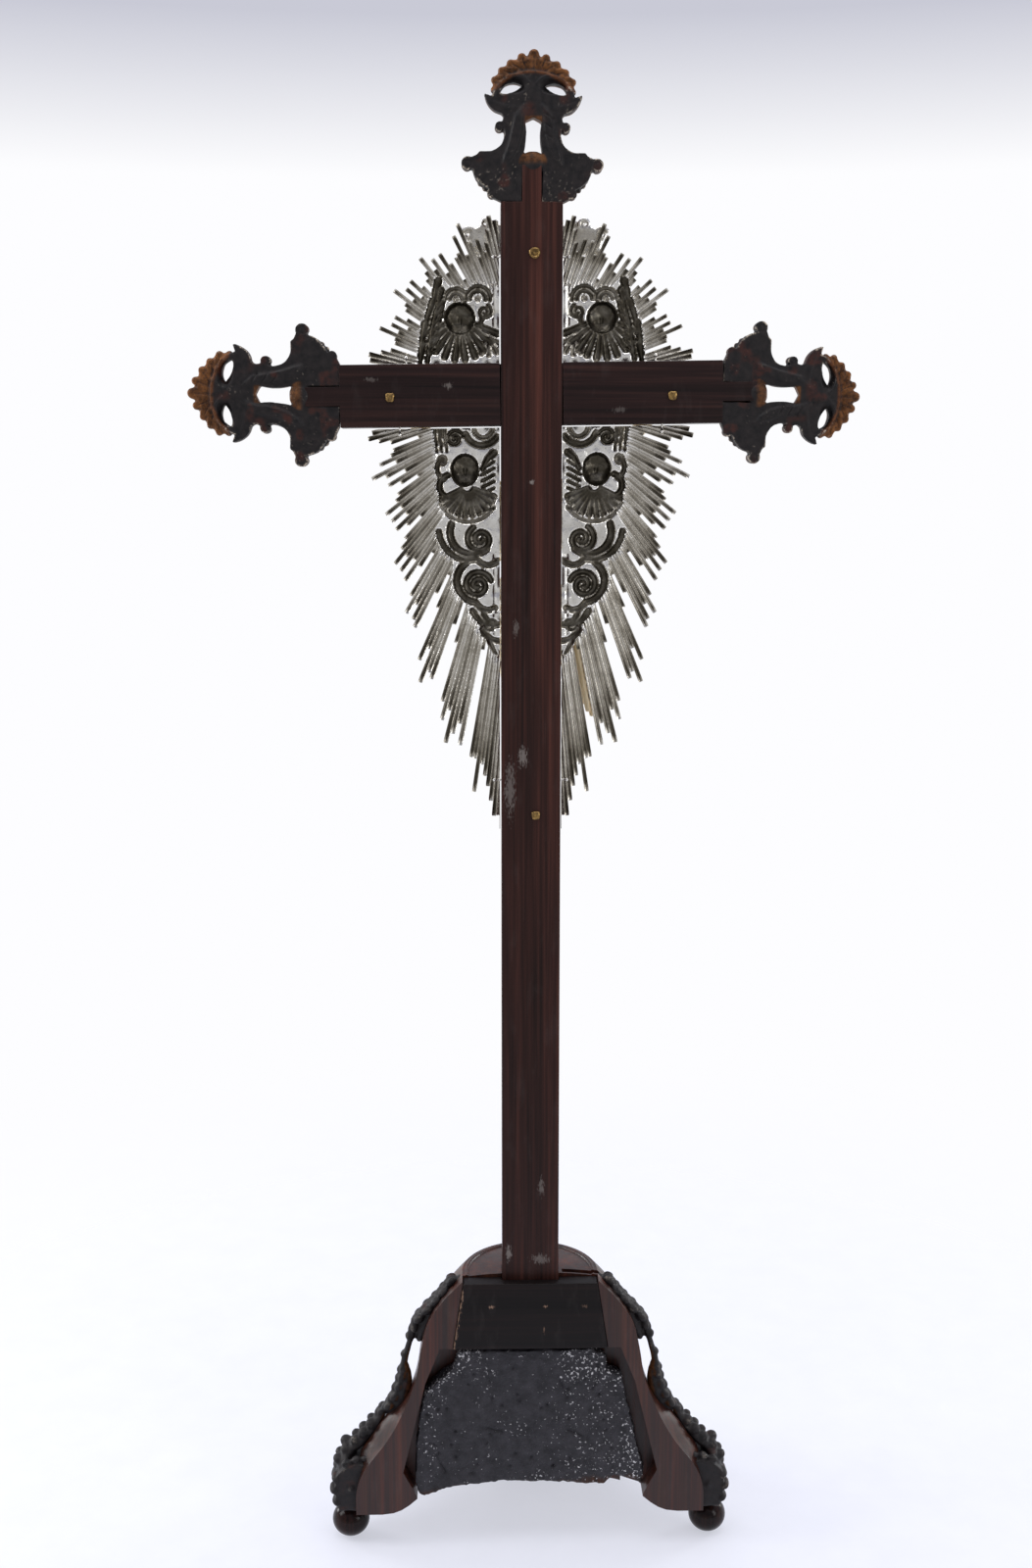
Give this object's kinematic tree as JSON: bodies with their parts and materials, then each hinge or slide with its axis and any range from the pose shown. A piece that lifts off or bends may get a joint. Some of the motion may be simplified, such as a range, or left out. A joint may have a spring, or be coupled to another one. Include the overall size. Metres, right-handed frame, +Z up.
{
  "type": "standing crucifix",
  "caption": "Dark wooden standing cross with carved lobed terminals, silver ray plates in its angles, an ivory figure, and a flared base with carved ribs on ball feet.",
  "frame": {"origin": "on the floor, at the middle of the overall box in plan", "axes": "+Z up, -Y towards the front where the figure is, +X to the right seen from the front"},
  "size_m": [0.4608, 0.1556, 1.086],
  "materials": {
    "dark_rosewood": "aged, rubbed dark red-brown wood",
    "blackened_wood": "black-stained carving with worn edges and remains of gilding",
    "tarnished_silver": "beaten sheet silver, tarnished in the hollows",
    "ivory": "polished ivory",
    "brass": "dull brass",
    "black_slab": "gritty black filling with pale specks"
  },
  "bodies": {
    "root": {"upright": "dark_rosewood", "crossbar": "dark_rosewood", "base_body": "dark_rosewood", "base_back_board": "dark_rosewood", "foot_back_left": "dark_rosewood", "foot_back_right": "dark_rosewood", "foot_front_left": "dark_rosewood", "foot_front_right": "dark_rosewood", "finial_top": "blackened_wood", "finial_left": "blackened_wood", "finial_right": "blackened_wood", "base_rib_left": "blackened_wood", "base_rib_right": "blackened_wood", "base_rib_front_left": "blackened_wood", "base_rib_front_right": "blackened_wood", "glory_upper_left": "tarnished_silver", "glory_upper_right": "tarnished_silver", "glory_lower_left": "tarnished_silver", "glory_lower_right": "tarnished_silver", "title_plaque": "tarnished_silver", "corpus_body": "ivory", "corpus_arm_left": "ivory", "corpus_arm_right": "ivory", "title_nail": "brass", "hand_nail_left": "brass", "hand_nail_right": "brass", "foot_nail": "brass", "base_back_slab": "black_slab"}
  },
  "joints": []
}
